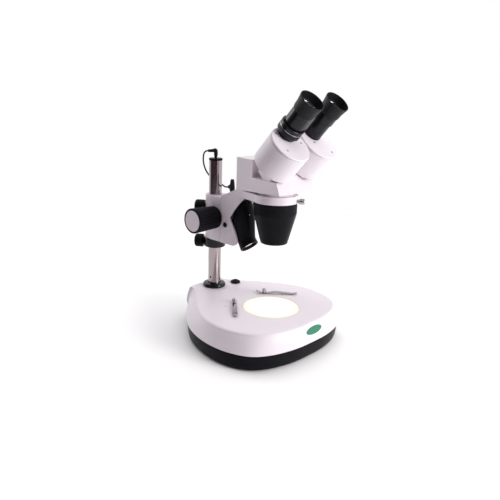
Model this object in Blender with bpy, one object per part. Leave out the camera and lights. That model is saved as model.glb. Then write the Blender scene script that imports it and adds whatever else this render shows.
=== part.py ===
"""Stereo microscope on a lit base: white plastic base, steel pillar, focusing head with two eyepieces.

Millimetres are used throughout and scaled to metres as each mesh is made. +Z is up, the user sits
on the -Y side, and X = Y = 0 is the optical axis, which passes through the centre of the stage plate.
"""

import math

import bmesh
import bpy
import numpy as np
from mathutils import Matrix, Vector

MM = 0.001
GAP = 0.3
LIFT = 7.0  # heights below are measured from a plane this far above the table

# Base
STAGE_Z = 54.0
COVER_Z = 21.0
TRAY_Z = -5.0
STAGE_R = 47.5
WALL = 3.0
# Pillar and what slides on it
PILLAR_Y = 144.0
PILLAR_R = 11.6
PILLAR_TOP = 288.3
COLLAR_Z = (131.5, 148.4)
BLOCK_Z = (149.0, 228.0)
SLIDE_Y = 110.0
HALF = 19.0
SCREW_DIR = (-0.574, 0.819, 0.0)
# Focus drive
SHAFT_Y, SHAFT_Z = 124.0, 191.5
KNOB_R, KNOB_X = 21.8, 71.4
# Head
RING_Z = (236.7, 249.0)
RING_R = 36.0
TURRET_R = 35.0
TURRET_Z = (168.0, 236.3)
DECK_Z = (249.6, 277.0)
HEAD_TOP = 303.0
TILT = math.radians(48.0)
DRUM_R, DRUM_L, DRUM_X = 33.3, 50.0, 34.0
FACE_Y, FACE_Z = -54.5, 334.5
TUBE_X, TUBE_UP = 3.3, 18.0
# Lamp beside the head
LAMP_PIVOT = (0.0, 97.0, 182.0)
LAMP_MOUTH = (0.0, 55.0, 149.0)
LAMP_TILT = math.radians(42.0)

LOOK = Vector((0.0, -math.cos(TILT), math.sin(TILT)))
RISE = Vector((0.0, math.sin(TILT), math.cos(TILT)))


def finish(name, bm, colour, rough=0.5, metal=0.0, angle=35.0):
    """Turns a bmesh in millimetres into the named object, with its own material and smooth shading."""
    bmesh.ops.remove_doubles(bm, verts=bm.verts, dist=1e-4)
    bmesh.ops.recalc_face_normals(bm, faces=bm.faces)
    bmesh.ops.translate(bm, vec=(0, 0, LIFT), verts=bm.verts)
    bmesh.ops.scale(bm, vec=(MM, MM, MM), verts=bm.verts)
    mesh = bpy.data.meshes.new(name)
    bm.to_mesh(mesh)
    bm.free()
    obj = bpy.data.objects.new(name, mesh)
    bpy.context.scene.collection.objects.link(obj)
    material = bpy.data.materials.new(name)
    material.use_nodes = True
    shader = material.node_tree.nodes["Principled BSDF"]
    shader.inputs["Base Color"].default_value = (*colour, 1.0)
    shader.inputs["Roughness"].default_value = rough
    shader.inputs["Metallic"].default_value = metal
    mesh.materials.append(material)
    mesh.shade_smooth()
    mesh.set_sharp_from_angle(angle=math.radians(angle))
    return obj


def combine(obj, other, operation):
    """Applies an exact Boolean to obj and throws the other object away."""
    modifier = obj.modifiers.new("boolean", "BOOLEAN")
    modifier.object = other
    modifier.operation = operation
    modifier.solver = "EXACT"
    bpy.context.view_layer.update()
    done = bpy.data.meshes.new_from_object(obj.evaluated_get(bpy.context.evaluated_depsgraph_get()))
    obj.modifiers.clear()
    done.name = obj.name
    material = obj.data.materials[0]
    obj.data = done
    done.materials.clear()
    done.materials.append(material)
    bpy.data.objects.remove(other)
    done.shade_smooth()
    done.set_sharp_from_angle(angle=math.radians(35.0))
    return obj


def cut(obj, *cutters):
    for cutter in cutters:
        combine(obj, cutter, "DIFFERENCE")
    return obj


def join(obj, *others):
    for other in others:
        combine(obj, other, "UNION")
    return obj


def lathe(name, profile, origin=(0, 0, 0), axis=(0, 0, 1), steps=22, colour=(0.5, 0.5, 0.5), rough=0.5, metal=0.0):
    """Revolves a closed loop of (radius, height) about the axis; a point with radius 0 is a pole."""
    bm = bmesh.new()
    turn = Vector((0, 0, 1)).rotation_difference(Vector(axis)).to_matrix()
    rings = []
    for radius, height in profile:
        if radius == 0:
            ring = [bm.verts.new(Vector(origin) + turn @ Vector((0, 0, height)))] * steps
        else:
            ring = []
            for i in range(steps):
                a = 2 * math.pi * i / steps
                point = Vector((radius * math.cos(a), radius * math.sin(a), height))
                ring.append(bm.verts.new(Vector(origin) + turn @ point))
        rings.append(ring)
    for here, there in zip(rings, rings[1:] + rings[:1]):
        if here[0] is here[1] and there[0] is there[1]:
            continue
        for i in range(steps):
            j = (i + 1) % steps
            corners = dict.fromkeys((here[i], here[j], there[j], there[i]))
            bm.faces.new(list(corners))
    return finish(name, bm, colour, rough, metal)


def loft(name, rings, colour=(0.5, 0.5, 0.5), rough=0.5, metal=0.0, angle=35.0):
    """Skins rings that hold the same number of points, and caps the first and the last."""
    bm = bmesh.new()
    made = [[bm.verts.new(point) for point in ring] for ring in rings]
    for here, there in zip(made, made[1:]):
        for i in range(len(here)):
            j = (i + 1) % len(here)
            bm.faces.new((here[i], here[j], there[j], there[i]))
    bm.faces.new(made[0])
    bm.faces.new(made[-1])
    return finish(name, bm, colour, rough, metal, angle)


def prism(name, outline, z0, z1, **look):
    return loft(name, [[(x, y, z0) for x, y in outline], [(x, y, z1) for x, y in outline]], **look)


def slab(name, outline, x0, x1, **look):
    """Extrudes an outline of (y, z) points along X."""
    return loft(name, [[(x0, y, z) for y, z in outline], [(x1, y, z) for y, z in outline]], **look)


def box(name, low, high, **look):
    outline = [(low[0], low[1]), (high[0], low[1]), (high[0], high[1]), (low[0], high[1])]
    return prism(name, outline, low[2], high[2], **look)


def rod(name, start, end, radius, steps=16, **look):
    axis = Vector(end) - Vector(start)
    profile = [(0, 0), (radius, 0), (radius, axis.length), (0, axis.length)]
    return lathe(name, profile, start, axis.normalized(), steps, **look)


def smooth_loop(half, per_span):
    """A closed Catmull-Rom curve through the points of one side (x >= 0), mirrored in X."""
    points = half + [(-x, y) for x, y in reversed(half) if x > 0.01]
    count = len(points)
    loop = []
    for i in range(count):
        a, b, c, d = (np.array(points[(i + k) % count], float) for k in (-1, 0, 1, 2))
        for s in range(per_span):
            t = s / per_span
            loop.append(tuple(0.5 * (2 * b + (c - a) * t + (2 * a - 5 * b + 4 * c - d) * t**2 + (3 * b - a - 3 * c + d) * t**3)))
    return loop


def inset(outline, distance):
    """Moves each point of a counter-clockwise outline inwards along its normal."""
    points = np.array(outline)
    along = np.roll(points, -1, axis=0) - np.roll(points, 1, axis=0)
    along /= np.linalg.norm(along, axis=1)[:, None]
    inward = np.stack([-along[:, 1], along[:, 0]], axis=1)
    area = np.sum(points[:, 0] * np.roll(points[:, 1], -1) - points[:, 1] * np.roll(points[:, 0], -1))
    return [tuple(p) for p in points + math.copysign(distance, area) * inward]


def level(outline, z):
    return [(x, y, z) for x, y in outline]


for leftover in list(bpy.data.objects):
    bpy.data.objects.remove(leftover)

WHITE = dict(colour=(0.82, 0.78, 0.81), rough=0.38)
BLACK = dict(colour=(0.02, 0.02, 0.022), rough=0.45)
RUBBER = dict(colour=(0.015, 0.015, 0.015), rough=0.8)
STEEL = dict(colour=(0.75, 0.75, 0.76), rough=0.15, metal=1.0)
GLASS = dict(colour=(0.85, 0.93, 0.95), rough=0.05)

# ---- Base: white cover over a black tray on four feet ----
SIDE_LOW = [
    (0, -93), (42, -91), (84, -80), (113, -60), (128, -25), (131, 12), (125, 50), (111, 86),
    (88, 120), (62, 150), (43, 168), (38, 176), (0, 178),
]
SIDE_TOP = [
    (0, -89), (40, -87), (78, -76), (104, -56), (119, -24), (123, 12), (116, 46), (99, 78),
    (76, 112), (54, 138), (41, 158), (37, 171), (0, 173.5),
]
low = smooth_loop(SIDE_LOW, 3)
top = smooth_loop(SIDE_TOP, 3)
bulge = inset([((a[0] + b[0]) / 2, (a[1] + b[1]) / 2) for a, b in zip(low, top)], -1.5)
cover = loft(
    "base_cover",
    [
        level(inset(low, WALL), COVER_Z + GAP),
        level(low, COVER_Z + GAP),
        level(inset(low, -0.6), COVER_Z + 8),
        level(bulge, COVER_Z + 20),
        level(top, STAGE_Z - 4),
        level(inset(top, 1.2), STAGE_Z - 1.2),
        level(inset(top, 4.5), STAGE_Z),
    ],
    **WHITE,
)
hollow = loft("hollow", [
    level(inset(low, WALL + 0.4), COVER_Z - 4),
    level(inset(low, WALL), COVER_Z + 8),
    level(inset(bulge, WALL), COVER_Z + 20),
    level(inset(top, WALL + 1), STAGE_Z - 4.5),
    level(inset(top, WALL + 5), STAGE_Z - WALL),
])
cut(
    cover,
    hollow,
    rod("c", (0, 0, 40), (0, 0, 60), STAGE_R + 0.3, 44),
    rod("c", (0, PILLAR_Y, 40), (0, PILLAR_Y, 60), PILLAR_R + 0.4, 22),
    rod("c", (40, 128, 40), (40, 128, 60), 3.9, 12),
    rod("c", (38, 51, 40), (38, 51, 60), 2.1, 12),
    rod("c", (-38, 51, 40), (-38, 51, 60), 2.1, 12),
    box("c", (-14, 165, 27), (14, 190, 45)),
)

rim = inset(low, 2.0)
tray = loft("base_tray", [
    level(inset(rim, 7), TRAY_Z),
    level(inset(rim, 2.4), TRAY_Z + 3),
    level(inset(rim, 0.6), TRAY_Z + 11),
    level(rim, COVER_Z),
    level(inset(rim, WALL), COVER_Z),
    level(inset(rim, WALL + 0.6), TRAY_Z + 11),
    level(inset(rim, WALL + 6), TRAY_Z + WALL),
], **BLACK)
join(tray, rod("boss", (0, PILLAR_Y, TRAY_Z + 1), (0, PILLAR_Y, 15), 17, 22))
for side, name in ((1, "R"), (-1, "L")):
    for y, where in ((-55, "front"), (118, "rear")):
        x = side * (88 if y < 0 else 66)
        lathe(f"foot_{where}_{name}", [(0, -LIFT), (8, -LIFT), (9, 1 - LIFT), (9, TRAY_Z - GAP), (0, TRAY_Z - GAP)], (x, y, 0), steps=14, **RUBBER)

# The round cover under the lit stage, a thin flat disc that stays clear of the bench between the feet.
cover_top, cover_low = TRAY_Z - GAP, TRAY_Z - GAP - 1.0
lathe("access_cover", [(0, cover_low), (35.6, cover_low), (36, cover_low + 0.4), (36, cover_top), (0, cover_top)], (0, 0, 0),
      steps=40, **BLACK)

lathe("stage_plate", [(0, 49), (STAGE_R, 49), (STAGE_R, 53.4), (STAGE_R - 0.6, STAGE_Z), (0, STAGE_Z)], steps=44,
      colour=(1.0, 0.93, 0.78), rough=0.4)
lathe("light_well", [
    (0, 10), (30, 10), (50.5, 36), (50.5, 50.7), (STAGE_R + 0.3, 50.7), (STAGE_R + 0.3, 48.7),
    (44, 48.7), (43, 40), (27, 12.5), (0, 12.5),
], steps=32, colour=(0.9, 0.9, 0.88), rough=0.3)
box("led_board", (-15, -15, 12.8), (15, 15, 15.5), colour=(0.95, 0.85, 0.55), rough=0.5)
cut(
    box("power_inlet", (-13.6, 162.5, 27.4), (13.6, 180.5, 44.6), **BLACK),
    box("c", (-10, 168, 30.5), (10, 190, 41.5)),
)
lathe("dimmer_control", [(0, 38), (8, 38), (8, 50.6), (3.5, 50.6), (3.5, 56), (0, 56)], (40, 128, 0), steps=14, **BLACK)
lathe("dimmer_knob", [
    (0, 56.5), (3.9, 56.5), (3.9, 54.6), (9.4, 54.6), (9.4, 56.2), (8, 58.2), (4, 59.2), (2.4, 60.8), (0, 61),
], (40, 128, 0), steps=18, **BLACK)

# ---- Stage clips, turned outwards off the plate ----
for side, name in ((1, "R"), (-1, "L")):
    pivot = Vector((side * 38, 51, 0))
    along = Vector((side * 0.68, -0.733, 0))
    across = Vector((-along.y, along.x, 0))
    run = [(-15, 5.2), (-9, 2.6), (-4, 1.3), (5, 1.3), (20, 3.6), (43, 1.9), (52, 0.9), (60, 2.8)]
    rings = [[pivot + along * s + across * w + Vector((0, 0, STAGE_Z + h + t)) for w, t in ((-4, 0), (4, 0), (4, 0.8), (-4, 0.8))]
             for s, h in run]
    clip = loft(f"stage_clip_{name}", rings, angle=20.0, **STEEL)
    cut(clip, rod("c", pivot + Vector((0, 0, 50)), pivot + Vector((0, 0, 60)), 2.2, 12))
    lathe(f"clip_screw_{name}", [(0, 44), (1.8, 44), (1.8, 56.6), (3.3, 56.6), (3.3, 63.4), (2.6, 64.2), (0, 64.2)], pivot,
          steps=14, **STEEL)

# ---- Pillar, its flange and the jack in its top ----
pillar = lathe("pillar", [(9.5, 15.3), (PILLAR_R, 15.3), (PILLAR_R, PILLAR_TOP), (9.5, PILLAR_TOP)], (0, PILLAR_Y, 0), steps=26, **STEEL)
cut(pillar, rod("c", (-20, PILLAR_Y - 2, 73), (-5, PILLAR_Y - 2, 73), 2.0, 10))
lathe("pillar_flange", [
    (PILLAR_R + GAP, 54.3), (21, 54.3), (21, 58), (19.5, 60.6), (14.5, 61.5), (PILLAR_R + GAP, 61.5),
], (0, PILLAR_Y, 0), steps=24, **BLACK)
lathe("pillar_cap", [
    (2.0, 278), (9.2, 278), (9.2, 288.6), (12.2, 288.6), (12.2, 291), (11.4, 292), (2.0, 292),
], (0, PILLAR_Y, 0), steps=22, **BLACK)
plug_end = (-8.4, PILLAR_Y + 11.2, 304.0)
join(
    lathe("lead_plug_top", [(0, 281), (1.7, 281), (1.7, 292.4), (3.4, 292.4), (3.4, 306.5), (2.6, 308), (0, 308)], (0, PILLAR_Y, 0), steps=14, **BLACK),
    rod("c", (0, PILLAR_Y, 304.0), plug_end, 2.9, 12),
)

# ---- Stop collar and pillar clamp, each with a thumb screw at the back ----
collar = lathe("stop_collar", [
    (PILLAR_R + GAP, COLLAR_Z[0]), (18.2, COLLAR_Z[0]), (19.5, COLLAR_Z[0] + 1.3), (19.5, COLLAR_Z[1] - 1), (18.5, COLLAR_Z[1]),
    (PILLAR_R + GAP, COLLAR_Z[1]),
], (0, PILLAR_Y, 0), steps=26, **BLACK)
arc = [(17.5 * math.cos(a), PILLAR_Y + 17.5 * math.sin(a)) for a in np.radians(np.linspace(0, 180, 13))]
outline = [(HALF, SLIDE_Y + GAP), (HALF, 134), *arc, (-HALF, 134), (-HALF, SLIDE_Y + GAP)]
clamp = prism("pillar_clamp", outline, *BLOCK_Z, **WHITE)
screw_axis = Vector(SCREW_DIR).normalized()
for body, radius, z, name in ((collar, 19.5, 140.0, "collar_screw"), (clamp, 17.5, 204.0, "clamp_knob")):
    centre = Vector((0, PILLAR_Y, z))
    cut(body, rod("c", centre + screw_axis * 5, centre + screw_axis * 30, 3.3, 12))
    lathe(name, [
        (0, PILLAR_R + 0.4), (3, PILLAR_R + 0.4), (3, radius + 0.4), (7, radius + 0.4), (7, radius + 1.2), (11.4, radius + 1.6),
        (12, radius + 2.6), (12, 35.8), (11, 36.8), (0, 36.8),
    ], centre, screw_axis, 18, **BLACK)
cut(
    clamp,
    rod("c", (0, PILLAR_Y, 140), (0, PILLAR_Y, 240), PILLAR_R + GAP, 26),
    box("c", (-10, 100, 140), (10, 118.6, 240)),
    box("c", (-6.6, 110, SHAFT_Z - 6.4), (6.6, SHAFT_Y + 6.4, SHAFT_Z + 6.4)),
    rod("c", (-30, SHAFT_Y, SHAFT_Z), (30, SHAFT_Y, SHAFT_Z), 3.9, 14),
)

# ---- Focus drive ----
lathe("focus_shaft", [(0, -62), (3.5, -62), (3.5, -6), (5.8, -6), (5.8, 6), (3.5, 6), (3.5, 62), (0, 62)], (0, SHAFT_Y, SHAFT_Z), (1, 0, 0), 16, **STEEL)
for side, name in ((1, "R"), (-1, "L")):
    centre, out = (0, SHAFT_Y, SHAFT_Z), (side, 0, 0)
    lathe(f"focus_knob_{name}", [
        (3.8, HALF + 1), (8, HALF + 1), (8, 52), (17.4, 52), (17.4, HALF + 1.4), (19.2, HALF + 1.4), (19.9, HALF + 2.4), (KNOB_R, KNOB_X - 1.2),
        (KNOB_R - 1.2, KNOB_X), (KNOB_R - 2.6, KNOB_X), (KNOB_R - 2.6, KNOB_X - 2), (4.5, KNOB_X - 2), (4.5, 63), (3.8, 62),
    ], centre, out, 26, **BLACK)
    lathe(f"knob_cap_{name}", [(0, KNOB_X - 1.7), (KNOB_R - 2.9, KNOB_X - 1.7), (KNOB_R - 2.9, KNOB_X - 0.4), (0, KNOB_X - 0.4)], centre, out, 40,
          colour=(0.62, 0.56, 0.6), rough=0.35)

# ---- Moving arm: slide and rack at the back, lamp channel below, head ring in front ----
side_view = [
    (SLIDE_Y - GAP, 148.5), (SLIDE_Y - GAP, 231), (71, 248.7), (52, 248.2), (51, 238), (57, 232), (67, 223), (77, 211), (86.5, 198),
    (83, 190), (76, 179), (70.5, 168), (67, 158.6), (70, 152), (77, 148.5),
]
arm = slab("arm", side_view, -HALF, HALF, **WHITE)
swing = np.radians(np.linspace(32, -212, 38))
wing = [(18.8, 70), *((RING_R * math.cos(a), RING_R * math.sin(a)) for a in swing), (-18.8, 70)]
join(
    arm,
    prism("c", wing, *RING_Z),
    slab("c", [(SLIDE_Y - 2, 149.5), (114, 149.5), (114, 226), (SLIDE_Y - 2, 226)], -9.6, 9.6),
)
channel = [(20, 130), (94, 130), (94, 212), (86, 231), (60, 234), (20, 234)]
screw_way = Vector((0.42, -0.907, 0))
cut(
    arm,
    rod("c", (0, 0, 230), (0, 0, 260), 30.0, 44),
    slab("c", channel, -16.2, 16.2),
    slab("c", [(80, 166), (105.5, 166), (105.5, 198), (80, 198)], -5.6, 5.6),
    rod("c", (-30, LAMP_PIVOT[1], LAMP_PIVOT[2]), (30, LAMP_PIVOT[1], LAMP_PIVOT[2]), 2.8, 12),
    rod("c", screw_way * 25 + Vector((0, 0, 240.3)), screw_way * 40 + Vector((0, 0, 240.3)), 2.1, 12),
    rod("c", (0, 101, 224), (0, 101, 245), 2.3, 12),
)
teeth = [(114.3, 151), (114.3, 225)]
pitch = 3.7
for k in range(20):
    z = 225 - k * pitch
    teeth += [(116.2, z - 0.2), (117.7, z - 1.0), (117.7, z - 2.0), (116.2, z - 2.8)]
slab("focus_rack", teeth[:-4] + [(116.2, 151)], -4, 4, **STEEL)
lathe("head_screw", [(0, 30.6), (1.8, 30.6), (1.8, 37.4), (3, 37.4), (3, 40), (4.6, 40), (4.6, 47), (4, 48), (0, 48)],
      (0, 0, 240.3), screw_way.normalized(), 16, **STEEL)
boot_end = (0.8, 109.3, 245.2)
join(
    lathe("lead_plug_arm", [(0, 228), (1.8, 228), (1.8, 237.4), (4.6, 237.4), (4.6, 258), (3.6, 259.5), (0, 259.5)], (0, 101, 0), steps=14, **BLACK),
    rod("c", (0, 101, 247), boot_end, 4.4, 14),
)

# ---- Lamp: a hood that swings on a pin at the back of the arm's channel ----
aim = Vector((0, -math.sin(LAMP_TILT), -math.cos(LAMP_TILT)))
path = [(55, 149, 42, 16.4, 16.4, 1), (57.3, 151.6, 42, 16.4, 16.4, 1), (61, 157, 38, 15.4, 15.8, 0.95), (65.5, 168, 24, 15.6, 17, 0.85),
        (69, 184, 9, 15.6, 18, 0.75), (70.3, 200, -6, 15.6, 17.6, 0.7), (68.8, 214, -12, 15, 14, 0.75), (67, 222, -14, 13, 10, 0.85),
        (66, 226, -14, 8, 5, 1)]
rings = []
for y, z, tilt, wide, deep, power in path:
    a = math.radians(tilt)
    turn = np.linspace(0, 2 * math.pi, 28, endpoint=False)
    across = wide * np.sign(np.cos(turn)) * abs(np.cos(turn)) ** power
    down = deep * np.sign(np.sin(turn)) * abs(np.sin(turn)) ** power
    rings.append([(x, y + d * math.cos(a), z - d * math.sin(a)) for x, d in zip(across, down)])
lamp = loft("lamp_housing", rings, angle=50.0, **BLACK)
join(
    lamp,
    slab("c", [(76, 171), (97, 175.5), (99, 188.5), (76, 192)], -5, 5),
    rod("c", (-5, LAMP_PIVOT[1], LAMP_PIVOT[2]), (5, LAMP_PIVOT[1], LAMP_PIVOT[2]), 6.7, 16),
)
mouth = Vector(LAMP_MOUTH)
cut(
    lamp,
    rod("c", mouth + aim * 5, mouth - aim * 8, 12.9, 18),
    rod("c", mouth, mouth - aim * 22, 9.0, 16),
    rod("c", (-10, LAMP_PIVOT[1], LAMP_PIVOT[2]), (10, LAMP_PIVOT[1], LAMP_PIVOT[2]), 2.8, 12),
)
lathe("lamp_lens", [(0, 3.4), (6, 3.9), (12.5, 5), (12.5, 7.6), (0, 7.6)], mouth, -aim, 18, colour=(1.0, 0.9, 0.75), rough=0.2)
lathe("lamp_bulb", [(0, 10), (4, 12), (5, 15), (5, 21.6), (0, 21.6)], mouth, -aim, 12, colour=(1.0, 0.85, 0.6), rough=0.2)
lathe("lamp_pin", [
    (0, -HALF - 2), (3.6, -HALF - 2), (4.5, -HALF - 1.4), (4.5, -HALF - GAP), (2.5, -HALF - GAP), (2.5, HALF + GAP), (3.5, HALF + GAP),
    (3.5, HALF + 1.5), (0, HALF + 1.5),
], LAMP_PIVOT, (1, 0, 0), 14, **BLACK)

# ---- Head body: deck, rear block and the sloping seat for the two drums ----
side_view = [(67, DECK_Z[0]), (-46, DECK_Z[0] + 6.9), (-36.5, DECK_Z[1] - 2), (24, DECK_Z[1] - 2), (24, HEAD_TOP), (67, HEAD_TOP)]
head = loft("head_body", [[(side * (24 + 0.1814 * (67 - y)), y, z) for y, z in side_view] for side in (-1, 1)], **WHITE)
seat = Vector((0, FACE_Y, FACE_Z)) - LOOK * (DRUM_L + 0.4)
wedge = [seat + RISE * s + LOOK * d for s, d in ((-14, -28), (16, -28), (16, 5), (-14, 5))]
join(
    head,
    slab("c", [(40, 262), (40, HEAD_TOP - 6), (18, 312), (-4, 330), (-16, 330), (-41.3, 262)], -20, 20),
    loft("c", [[(side * (22.6 + 0.1814 * (67 - y)), y, z) for _, y, z in wedge] for side in (-1, 1)]),
    rod("c", (0, 0, 237.4), (0, 0, 262), 29.6, 44),
)
above = loft("c", [[seat + RISE * s + LOOK * d + Vector((x, 0, 0)) for s, d in ((-90, 0), (42, 0), (42, 80), (-90, 80))] for x in (-90, 90)])
cut(head, above, rod("c", (0, 0, 230), (0, 0, 271), 23, 36), box("c", (-16.5, 2, 254), (16.5, 63, 292)))
cut(head, *(rod("c", Vector((x, seat.y, seat.z)) + LOOK * 5, Vector((x, seat.y, seat.z)) - LOOK * 10, 2.5, 12) for x in (-DRUM_X, DRUM_X)))
join(head, box("c", (-25, -4.5, 237.8), (25, 4.5, 243)), rod("c", (0, 0, 163.5), (0, 0, 240), 5.0, 16))

# ---- Objective turret with two pairs of lenses ----
turret = lathe("objective_turret", [
    (5.4, TURRET_Z[0]), (21.6, TURRET_Z[0]), (22.6, TURRET_Z[0] + 1), (22.6, 171.4), (23.4, 172.4), (34.4, 216), (TURRET_R, 217.5),
    (TURRET_R, TURRET_Z[1]), (31.5, TURRET_Z[1]), (31.5, 218), (20.6, 174.5), (5.4, 174.5),
], steps=36, **BLACK)
wells = []
for x, y, r, name in ((13, 0, 6.4, "2x_R"), (0, -13, 5.2, "4x_front"), (-13, 0, 6.4, "2x_L"), (0, 13, 5.2, "4x_rear")):
    wells.append(rod("c", (x, y, 160.3), (x, y, 177.7), r + GAP, 14))
    lathe(f"objective_{name}", [(0, 169.2), (r * 0.6, 168.8), (r, 169.6), (r, 186), (r - 1.5, 186), (r - 1.5, 176), (0, 176)], (x, y, 0), steps=14, **GLASS)
cut(turret, join(*wells))

# ---- Eyepiece side: drum, cover plate, prism, tube, eyepiece, lens and rubber eyecup ----
for side, name in ((1, "R"), (-1, "L")):
    face = Vector((side * DRUM_X, FACE_Y, FACE_Z))
    eye = face - Vector((side * TUBE_X, 0, 0)) + RISE * TUBE_UP
    lathe(f"drum_{name}", [
        (10, -DRUM_L), (DRUM_R - 1.5, -DRUM_L), (DRUM_R, -DRUM_L + 1.5), (DRUM_R, -3.3), (30.3, -3.3), (30.3, -DRUM_L + 3), (10, -DRUM_L + 3),
    ], face, LOOK, 36, **WHITE)
    plate = lathe(f"drum_plate_{name}", [(0, -3), (DRUM_R, -3), (DRUM_R, -1), (DRUM_R - 1, 0), (0, 0)], face, LOOK, 36, **WHITE)
    cut(plate, rod("c", eye - LOOK * 10, eye + LOOK * 10, 13.9, 22))
    block = [(-15, -42), (15, -42), (15, -20), (-2, -10), (-15, -10)]
    loft(f"prism_{name}", [[face + Vector((x, 0, 0)) + RISE * s + LOOK * d for s, d in block] for x in (-13, 13)], **GLASS)
    end, mouth_at = (24.0, 68.0) if side < 0 else (30.0, 66.5)
    lathe(f"eye_tube_{name}", [
        (12.4, -2.9), (13.6, -2.9), (13.6, 0.3), (15.4, 0.3), (15.4, 3), (15, 4), (15, end - 0.6), (14.5, end), (13.5, end), (13.5, 1), (12.4, 1),
    ], eye, LOOK, 26, **BLACK)
    if side < 0:
        lathe("dioptre_ring", [(15.3, 5.5), (18.4, 5.5), (19, 6.2), (19, 20.3), (18.4, 21), (15.3, 21)], eye, LOOK, 26, **BLACK)
    top_at = mouth_at - 66
    lathe(f"eyepiece_{name}", [
        (11.8, end - 18), (13.2, end - 18), (13.2, end + 0.3), (16.4, end + 0.3), (16.4, top_at + 43.6), (14.6, top_at + 43.6),
        (14.6, top_at + 53), (13.2, top_at + 54), (11.8, top_at + 54),
    ], eye, LOOK, 26, **BLACK)
    lathe(f"eye_lens_{name}", [(0, 45.5), (11.5, 46.5), (11.5, 49.5), (0, 51)], eye + LOOK * top_at, LOOK, 18, **GLASS)
    lathe(f"eyecup_{name}", [
        (14.9, 44.0), (17.0, 44.0), (17.3, 46), (17.6, 53), (18.6, 60), (19.6, 65), (19.2, 66), (18.4, 65.6), (17.4, 60), (16.2, 54.8),
        (14.9, 53.6),
    ], eye + LOOK * top_at, LOOK, 26, **RUBBER)

# ---- Lead from the pillar jack, round the pillar, to the plug on the arm ----
route = [(-8.8, 156.0, 304.0), (-12.6, 160.4, 303), (-14.6, 161.4, 294), (-14.2, 161.2, 283), (-9.5, 161.8, 271), (1, 162.5, 258),
         (13, 158, 249), (18, 146.5, 243), (12.5, 134, 241.5), (6, 124, 242.2), (1.1, 110.2, 245)]
curve = bpy.data.curves.new("lamp_lead", "CURVE")
curve.dimensions = "3D"
spline = curve.splines.new("NURBS")
spline.points.add(len(route) - 1)
for point, place in zip(spline.points, route):
    point.co = (*((Vector(place) + Vector((0, 0, LIFT))) * MM), 1.0)
spline.order_u = 4
spline.use_endpoint_u = True
curve.resolution_u = 3
curve.bevel_depth = 1.35 * MM
curve.bevel_resolution = 1
curve.use_fill_caps = True
lead = bpy.data.objects.new("lamp_lead", curve)
bpy.context.scene.collection.objects.link(lead)
sheath = bpy.data.materials.new("lamp_lead")
sheath.use_nodes = True
sheath.node_tree.nodes["Principled BSDF"].inputs["Base Color"].default_value = (0.02, 0.02, 0.02, 1.0)
curve.materials.append(sheath)
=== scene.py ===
"""Visual model of a bench stereo microscope with a lit base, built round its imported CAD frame.

Lengths are in millimetres from a plane 7 mm above the bench, with X = Y = 0 on the optical axis;
each maker of a surface turns them into metres in the frame as its last step.
"""

import math

import bmesh
import bpy
import numpy as np
from mathutils import Matrix, Vector


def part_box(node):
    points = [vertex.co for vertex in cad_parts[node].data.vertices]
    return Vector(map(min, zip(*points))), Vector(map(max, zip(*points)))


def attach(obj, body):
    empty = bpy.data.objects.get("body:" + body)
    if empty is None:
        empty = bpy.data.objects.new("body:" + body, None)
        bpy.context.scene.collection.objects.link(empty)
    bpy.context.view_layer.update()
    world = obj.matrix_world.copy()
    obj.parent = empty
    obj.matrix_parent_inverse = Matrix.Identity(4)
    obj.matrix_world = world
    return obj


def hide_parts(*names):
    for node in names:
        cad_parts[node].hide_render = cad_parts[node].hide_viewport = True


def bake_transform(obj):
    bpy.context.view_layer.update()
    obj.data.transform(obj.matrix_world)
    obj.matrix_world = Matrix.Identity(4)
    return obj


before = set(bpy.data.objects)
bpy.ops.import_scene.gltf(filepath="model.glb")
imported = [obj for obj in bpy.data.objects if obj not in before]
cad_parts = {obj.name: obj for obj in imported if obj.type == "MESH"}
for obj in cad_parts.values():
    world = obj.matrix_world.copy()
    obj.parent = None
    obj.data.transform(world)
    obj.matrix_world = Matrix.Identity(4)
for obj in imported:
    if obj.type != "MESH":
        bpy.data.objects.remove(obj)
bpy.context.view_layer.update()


# ---- Studio: camera and light ----
# A short telephoto view from the user's front left, a little above the stage. The surroundings are
# white, with one soft dark side at the left that shades that flank.
azimuth, elevation, roll = (math.radians(a) for a in (-46.42, 16.2, 1.8))
camera = bpy.data.objects.new("camera", bpy.data.cameras.new("camera"))
camera.data.sensor_width = 36.0
camera.data.lens = 38.88
camera.data.clip_start, camera.data.clip_end = 0.02, 20.0
aim = Matrix.Rotation(azimuth, 4, "Z") @ Matrix.Rotation(math.pi / 2 - elevation, 4, "X")
stood = Matrix.Translation((-0.650272, -0.565029, 0.410661))
camera.matrix_world = stood @ aim @ Matrix.Rotation(roll, 4, "Z")
bpy.context.scene.collection.objects.link(camera)
bpy.context.scene.camera = camera
bpy.context.scene.view_settings.view_transform = "Standard"


def soft_light(name, place, target, size, power, colour):
    """A square area light at `place` that faces `target`."""
    light = bpy.data.lights.new(name, "AREA")
    light.size, light.energy, light.color = size, power, colour
    lamp = bpy.data.objects.new(name, light)
    way = Vector(target) - Vector(place)
    lamp.matrix_world = Matrix.Translation(place) @ way.to_track_quat("-Z", "Y").to_matrix().to_4x4()
    bpy.context.scene.collection.objects.link(lamp)


soft_light("key", (0.35, -1.6, 0.62), (0.0, 0.0, 0.25), 0.8, 22.0, (1.0, 0.99, 0.98))
soft_light("overhead", (0.1, 0.2, 1.6), (0.0, 0.0, 0.1), 1.2, 2.5, (1.0, 0.99, 1.0))
soft_light("rim", (-0.45, 1.5, 0.9), (0.0, 0.1, 0.25), 0.6, 4.0, (0.98, 0.97, 1.0))

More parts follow.
